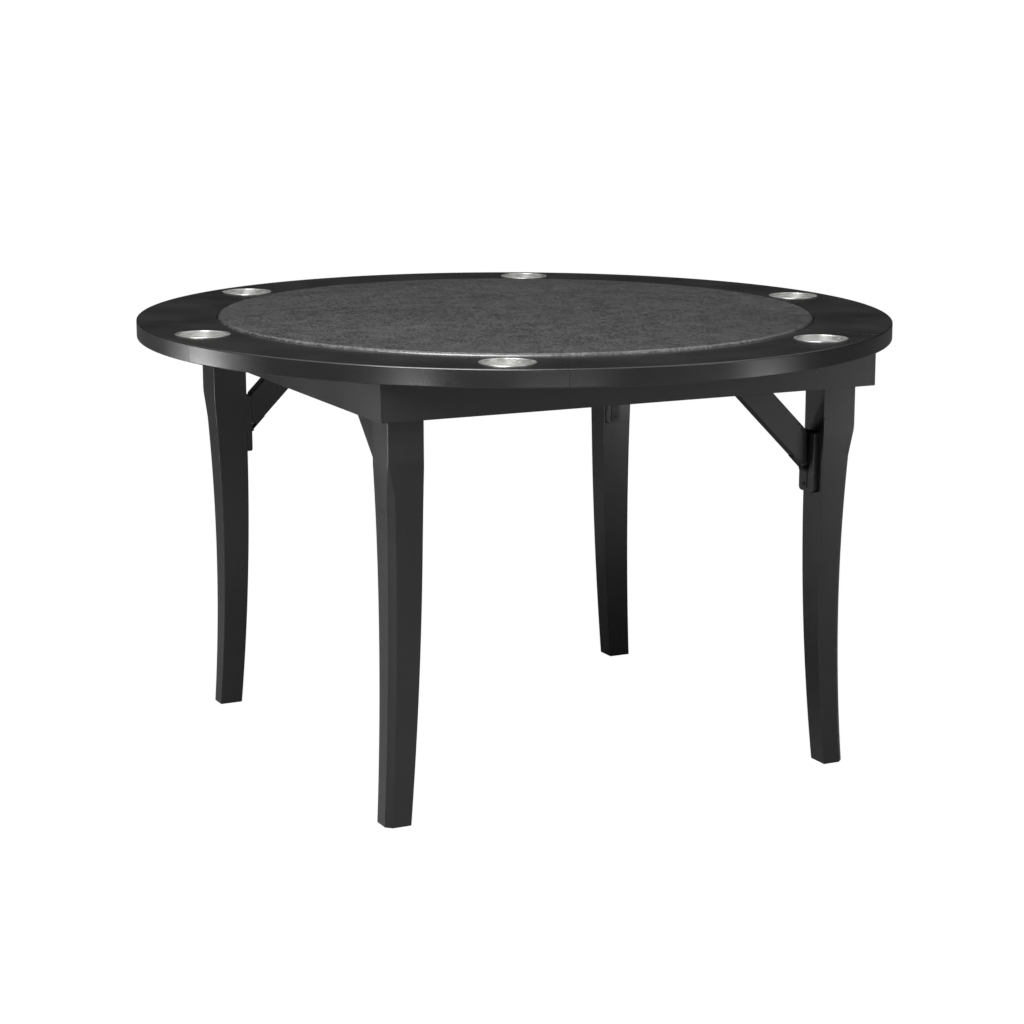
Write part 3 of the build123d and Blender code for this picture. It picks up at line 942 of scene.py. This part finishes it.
keeper_low, keeper_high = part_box("brace_keeper_front_left")
leaf_low, leaf_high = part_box("brace_hinge_cleat_leaf_front_left")
keeper_sheet = 1.6 * mm
keeper_x = (keeper_low.x + keeper_high.x) / 2
keeper_face = keeper_high.z - keeper_sheet
keeper_places = [
    (keeper_x, y, keeper_face) for y in (keeper_low.y + 14 * mm, keeper_high.y - 14 * mm)
]
heel_x = (leaf_low.x + leaf_high.x) / 2
cleat_places = [
    (cleat_low.x + 7 * mm, cleat_high.y, cleat_high.z - 18 * mm),
    (heel_x, leaf_high.y - 3.0 * mm, leaf_low.z + 8 * mm),
]
for corner_name, angle in corners.items():
    screws("keeper_screws_" + corner_name, "table_top", keeper_places, (0, 0, -1), radians(angle))
    screws("cleat_screws_" + corner_name, "leg_assembly_" + corner_name, cleat_places, (0, 1, 0),
           radians(angle))
bpy.data.objects.remove(model_screw)
print("screws at each corner", len(keeper_places) + len(cleat_places))

# %% [markdown]
# ## Finishes on the hidden parts
# The corner blocks, hinges, keepers, glides, panel and board are plain in life too, so
# they keep their exact meshes, and only their material changes.

# %% Materials on the carried-over nodes
finishes = {
    "leg_block": lacquer_upright,
    "leg_hinge": zinc_plate, "brace_hinge": black_oxide, "brace_keeper": black_oxide,
    "foot_glide": moulded_nylon,
    "top_panel": stained_plywood, "pad_board": stained_plywood,
}
dressed = 0
for name, node in nodes.items():
    for start, material in finishes.items():
        if name.startswith(start):
            node.data.materials.clear()
            node.data.materials.append(material)
            dressed += 1
print("engineering nodes dressed", dressed)

# %% [markdown]
# ## Studio
# The table stands on a white sweep. Black lacquer shows what it mirrors and little
# else: seen from a little above, the upright band and the apron mirror the floor some
# metres out, and the level rim mirrors the room just above the horizon. So the room
# is dark low down and bright overhead, lit cards lie on the floor where the band
# should shine, one box overhead lights the padding's edge and the cups, and a weak
# one fills the front. The camera itself sees only white. From below the floor is
# clear, so that the underside can be looked at.

# %% Floor
bpy.ops.object.select_all(action="DESELECT")
bpy.ops.mesh.primitive_plane_add(size=60, location=(0, 0, -0.5 * mm))
floor = bpy.context.object
floor.name = "studio_floor"
floor_paint, tree = material_sheet("white studio floor")
ray = add(tree, "ShaderNodeLightPath")
paint = add(tree, "ShaderNodeBsdfPrincipled", {"Base Color": linear("#8E8E8E"), "Roughness": 0.9})
glow = add(tree, "ShaderNodeEmission", {"Color": linear("#FFFFFF"), "Strength": 1.16})
washed_out = add(tree, "ShaderNodeMixShader", {0: 0.85, 1: paint.outputs[0], 2: glow.outputs[0]})
above = add(tree, "ShaderNodeMixShader", {
    0: ray.outputs["Is Camera Ray"], 1: paint.outputs[0], 2: washed_out.outputs[0],
})
below = add(tree, "ShaderNodeNewGeometry").outputs["Backfacing"]
clear = add(tree, "ShaderNodeBsdfTransparent")
one_way = add(tree, "ShaderNodeMixShader", {0: below, 1: above.outputs[0], 2: clear.outputs[0]})
add(tree, "ShaderNodeOutputMaterial", {"Surface": one_way.outputs[0]})
floor.data.materials.append(floor_paint)
print("floor at", round(floor.location.z / mm, 2), "mm")

# %% World
world = bpy.data.worlds.new("studio")
bpy.context.scene.world = world
world.use_nodes = True
tree = world.node_tree
tree.nodes.clear()
ray = add(tree, "ShaderNodeLightPath")
direction = add(tree, "ShaderNodeTexCoord").outputs["Generated"]
steepness = add(tree, "ShaderNodeSeparateXYZ", {"Vector": direction}).outputs["Z"]
ceiling = add(tree, "ShaderNodeMapRange", {
    "Value": steepness, "From Min": 0.35, "From Max": 0.8, "To Min": 0.012, "To Max": 1.3,
}, interpolation_type="SMOOTHSTEP")
bright = add(tree, "ShaderNodeBackground", {
    "Color": linear("#FFFFFF"), "Strength": ceiling.outputs["Result"],
})
dim = add(tree, "ShaderNodeBackground", {"Color": linear("#FFFFFF"), "Strength": 0.08})
room = add(tree, "ShaderNodeMixShader", {
    0: ray.outputs["Is Diffuse Ray"], 1: bright.outputs[0], 2: dim.outputs[0],
})
sweep = add(tree, "ShaderNodeBackground", {"Color": linear("#FFFFFF"), "Strength": 1.05})
both = add(tree, "ShaderNodeMixShader", {
    0: ray.outputs["Is Camera Ray"], 1: room.outputs[0], 2: sweep.outputs[0],
})
add(tree, "ShaderNodeOutputWorld", {"Surface": both.outputs[0]})
print("world", world.name)

# %% Lights
def softbox(name, place, aim, width, height, power):
    """A rectangular light that looks at a point."""
    light = bpy.data.lights.new(name, "AREA")
    light.shape, light.size, light.size_y, light.energy = "RECTANGLE", width, height, power
    lamp = bpy.data.objects.new(name, light)
    bpy.context.collection.objects.link(lamp)
    lamp.location = place
    lamp.rotation_mode = "QUATERNION"
    lamp.rotation_quaternion = (Vector(aim) - Vector(place)).to_track_quat("-Z", "Y")
    return lamp


def around(turn, distance, height):
    """A place at a compass turn about the table, 0 at the front and 90 at the right."""
    return (distance * sin(radians(turn)), -distance * cos(radians(turn)), height)


def card(name, turn, distance, width, depth, power):
    """A lit card lying on the floor, which the upright band mirrors."""
    place = around(turn, distance, 20 * mm)
    lamp = softbox(name, place, (place[0], place[1], 1), width, depth, power)
    lamp.rotation_mode = "XYZ"
    lamp.rotation_euler = (radians(180), 0, radians(turn))
    return lamp


lamps = [
    card("left_back_card", -124, 3.8, 0.8, 1.6, 150),
    card("left_front_card", -54, 3.93, 0.8, 1.8, 44),
    card("front_card", -14, 3.95, 1.7, 1.6, 27),
    card("front_right_card", 21, 4.1, 1.5, 1.6, 5),
    card("right_front_card", 46, 3.83, 0.9, 1.8, 52),
    softbox("overhead_box", around(-46, 2.1, 2.3), (-0.1, -0.2, 0.7), 1.7, 1.7, 150),
    softbox("front_fill", around(30, 4.5, 2.2), (0.8, -2.0, 0), 2.0, 1.6, 34),
]
print("lamps", len(lamps))

# %% [markdown]
# ## Camera
# A long lens from about five metres keeps the far legs nearly as large as the near
# ones. It looks down a little at the front left corner, and the lens is shifted a
# little, as a view camera's is, to set the table in the frame without turning it.

# %% Camera
camera_data = bpy.data.cameras.new("camera")
camera = bpy.data.objects.new("camera", camera_data)
bpy.context.collection.objects.link(camera)
camera_data.sensor_width = 36
camera_data.lens = 92.36
camera_data.shift_x, camera_data.shift_y = -0.1152, 0.0550
azimuth, elevation, roll = radians(-28.56), radians(12.79), radians(0.54)
distance = 4.71687
aim_height, aside, downwards = 0.381, 0.20376, 0.07517
back = Vector((sin(azimuth) * cos(elevation), -cos(azimuth) * cos(elevation), sin(elevation)))
right = Vector((cos(azimuth), sin(azimuth), 0))
upwards = back.cross(right)
aim = Vector((0, 0, aim_height)) + right * aside - upwards * downwards
camera.location = aim + back * distance
turned = Matrix((right, upwards, back)).transposed() @ Matrix.Rotation(roll, 3, "Z")
camera.rotation_mode = "QUATERNION"
camera.rotation_quaternion = turned.to_quaternion()
camera_data.clip_start, camera_data.clip_end = 0.1, 100
bpy.context.scene.camera = camera
bpy.context.scene.view_settings.view_transform = "Standard"
print("camera at", [round(v, 3) for v in camera.location])
